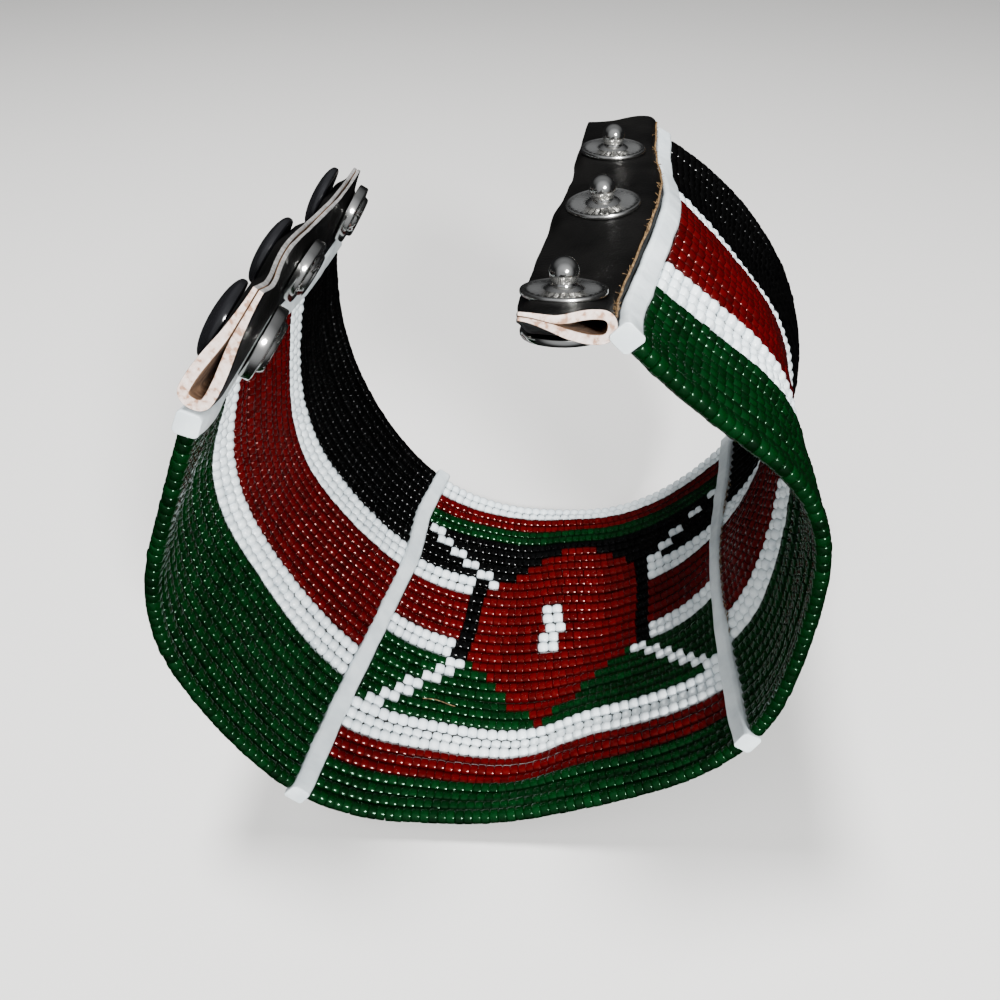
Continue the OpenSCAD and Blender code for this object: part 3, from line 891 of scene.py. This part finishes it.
def seat_copies(shape, node_names, points_to):
    """Copies a turned shape to its seats, each copy with its own mesh, and clears it away."""
    for node_name in node_names:
        piece = bpy.data.objects.new(node_name + "_turned", shape.data.copy())
        bpy.context.scene.collection.objects.link(piece)
        piece.data.transform(seat_of(node_name, points_to))
        piece.data.update()
        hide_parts(node_name)
        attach(piece, "root")
    bpy.data.objects.remove(shape)


# Caps: black enamelled domes with a rolled edge, on the outside of the left tab.
dome = [(5.1 * math.cos(a), 0.6 + 1.4 * math.sin(a)) for a in np.radians(np.arange(0, 89, 8))]
cap_profile = [(0, 0), (4.5, 0), (4.9, 0.06), (5.08, 0.25)] + dome + [(0, 2.0)]
cap_shape = turned("cap_shape", cap_profile, 64, enamel_finish)
bpy.ops.object.shade_smooth_by_angle(angle=math.radians(40))
seat_copies(cap_shape, ("cap_near", "cap_mid", "cap_far"), (-1, 0, 1))

# Sockets: a bright ring with a straight wall, a raised lip and a spring in its well, on
# the inside of the left tab.
SPRING_R = 0.2
SPRING_LEN = 3.1
SPRING_ASIDE = 0.95
SPRING_RISE = 1.25
socket_shape = turned("socket_shape", [
    (0, 0), (4.5, 0), (4.68, 0.1), (4.7, 0.25), (4.7, 1.2), (4.64, 1.34), (4.5, 1.42),
    (4.2, 1.46), (3.5, 1.5), (3.36, 1.58), (3.26, 1.9), (3.14, 2.1), (2.9, 2.19), (2.1, 2.19),
    (1.9, 2.1), (1.8, 1.9), (1.8, 0.5), (1.7, 0.4), (0, 0.4)], 64, metal_finish)
bpy.ops.object.shade_smooth_by_angle(angle=math.radians(35))
socket_parts = [socket_shape]
for side in (-1, 1):
    clear_selection()
    bpy.ops.mesh.primitive_cylinder_add(
        vertices=10, radius=SPRING_R * MM, depth=SPRING_LEN * MM,
        location=(side * SPRING_ASIDE * MM, 0, SPRING_RISE * MM), rotation=(math.pi / 2, 0, 0))
    spring = bpy.context.object
    bpy.ops.object.transform_apply(location=True, rotation=True, scale=True)
    rounding = spring.modifiers.new("rounding", "BEVEL")
    rounding.width = 0.06 * MM
    bpy.ops.object.modifier_apply(modifier="rounding")
    bpy.ops.object.shade_smooth_by_angle(angle=math.radians(40))
    spring.data.materials.append(metal_finish)
    socket_parts.append(spring)
clear_selection()
for part in socket_parts:
    part.select_set(True)
bpy.context.view_layer.objects.active = socket_shape
bpy.ops.object.join()
seat_copies(socket_shape, ("socket_near", "socket_mid", "socket_far"), (1, 0, -1))

# Studs: a ball head on a flange with twenty-eight pressed ribs inside a raised rim.
STUD_STEPS = 56
RIB_HEIGHT = 0.18
RIB_START, RIB_END = 2.5, 4.35
NECK_FROM = 0.95
ball = [(1.7 * math.cos(a), 2.3 + 1.7 * math.sin(a))
        for a in np.radians(np.arange(-32, 88, 10))]
stud_profile = [
    (0, 0), (4.6, 0), (4.8, 0.06), (4.85, 0.2), (4.85, 0.4), (4.78, 0.54), (4.6, 0.6),
    (4.45, 0.55), (4.3, 0.4), (3.8, 0.4), (3.2, 0.42), (2.6, 0.45), (2.25, 0.55), (2.0, 0.75),
    (1.75, 0.9), (1.5, 1.0), (1.44, 1.2)] + ball + [(0, 4.0)]
stud_shape = turned("stud_shape", stud_profile, STUD_STEPS, pressed_finish)
stud_shape.data.materials.append(metal_finish)
for face in stud_shape.data.polygons:
    if face.center.z > NECK_FROM * MM:
        face.material_index = 1
for vertex in stud_shape.data.vertices:
    reach = math.hypot(vertex.co.x, vertex.co.y) / MM
    spoke = round(math.atan2(vertex.co.y, vertex.co.x) / (2 * math.pi) * STUD_STEPS) % 2
    if spoke and RIB_START < reach < RIB_END and vertex.co.z > 0.3 * MM:
        vertex.co.z += RIB_HEIGHT * MM
bpy.ops.object.shade_smooth_by_angle(angle=math.radians(35))
seat_copies(stud_shape, ("stud_near", "stud_mid", "stud_far"), (0, 0, 1))

# Backs of the studs: plain plates with a rolled edge and a shallow dish, under the tab.
back_shape = turned("back_shape", [
    (0, 0), (4.6, 0), (4.8, 0.08), (4.85, 0.3), (4.82, 0.62), (4.65, 0.88), (4.3, 0.98),
    (3.9, 0.95), (3.4, 0.82), (2.4, 0.76), (1.6, 0.8), (1.1, 0.92), (0.6, 0.98),
    (0, 1.0)], 48, metal_finish)
bpy.ops.object.shade_smooth_by_angle(angle=math.radians(35))
seat_copies(back_shape, ("stud_back_near", "stud_back_mid", "stud_back_far"), (0, 0, -1))

# ---------------------------------------------------------------------------------------
# Loose ends of the tan waxed thread: fuzz beside the right spacer and along the fold of
# the stud tab, and one pale end that has worked up between two green strands.
FOLD_HAIRS = 80
SPACER_HAIRS = 90
thread_finish, mn, ml, shader = plain_material("tan_thread", (0.42, 0.3, 0.18), 0.8)
twist = object_noise(mn, ml, 2500, 2)
twists = colour_ramp(mn, ml, twist.outputs["Fac"],
                     [(0.3, (0.03, 0.015, 0.006)), (0.7, (0.24, 0.15, 0.07))])
ml.new(twists.outputs["Color"], shader.inputs["Base Color"])


def hairs(name, paths, radius):
    """Thin round hairs along the given paths, as one closed mesh."""
    run = bpy.data.curves.new(name, "CURVE")
    run.dimensions = "3D"
    run.bevel_depth = radius * MM
    run.bevel_resolution = 1
    run.resolution_u = 3
    run.use_fill_caps = True
    for path in paths:
        spline = run.splines.new("NURBS")
        spline.points.add(len(path) - 1)
        for point, co in zip(spline.points, path):
            point.co = (*co, 1)
        spline.use_endpoint_u = True
        spline.order_u = 3
    piece = bpy.data.objects.new(name, run)
    bpy.context.scene.collection.objects.link(piece)
    clear_selection()
    piece.select_set(True)
    bpy.context.view_layer.objects.active = piece
    bpy.ops.object.convert(target="MESH")
    piece.data.materials.append(thread_finish)
    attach(piece, "root")


def by_fold(u, x, y):
    """A place beside the fold of the stud tab, on the side of the strip."""
    return tab_point(STUD_TAB, RIGHT_END, STUD_FOLD, u, x, y)


fold_line = [by_fold(u, -2.4 + 0.06 * math.sin(u * 60), -1.2 + 0.08 * math.sin(u * 83))
             for u in np.linspace(0.01, 0.99, 60)]
hairs("fold_line", [fold_line], 0.15)
fuzz = []
for k in range(FOLD_HAIRS):
    u = chance.uniform(0.02, 0.98)
    root = by_fold(u, -2.3, -1.25)
    tip = by_fold(min(max(u + chance.normal(0, 0.012), 0), 1),
                  -2.3 + chance.uniform(-0.5, 0.6), -1.4 - chance.uniform(0, 0.25))
    fuzz.append([root, (root + tip) / 2 + chance.normal(0, 0.0001, 3), tip])
for k in range(SPACER_HAIRS):
    u = chance.uniform(0.3, 0.86)
    s = strip_line(RIGHT_SPACER, u) + STRIP_W / 2
    root = band_point(s + 0.1, u, 0.9)
    reach = chance.uniform(0.5, 1.3)
    mid = band_point(s + 0.5 * reach, u + chance.normal(0, 0.006),
                     1.25 + chance.uniform(0, 0.3))
    tip = band_point(s + reach, u + chance.normal(0, 0.012), 1.1 + chance.uniform(0, 0.3))
    fuzz.append([root, mid, tip])
hairs("spacer_fuzz", fuzz, 0.035)
loose = [band_point(strip_line(LEFT_SPACER, 0.32) + 12 + 1.1 * k, 0.318 + 0.002 * math.sin(k),
                    1.0 + 0.25 * math.sin(k * 0.8)) for k in range(6)]
hairs("loose_thread", [loose], 0.07)
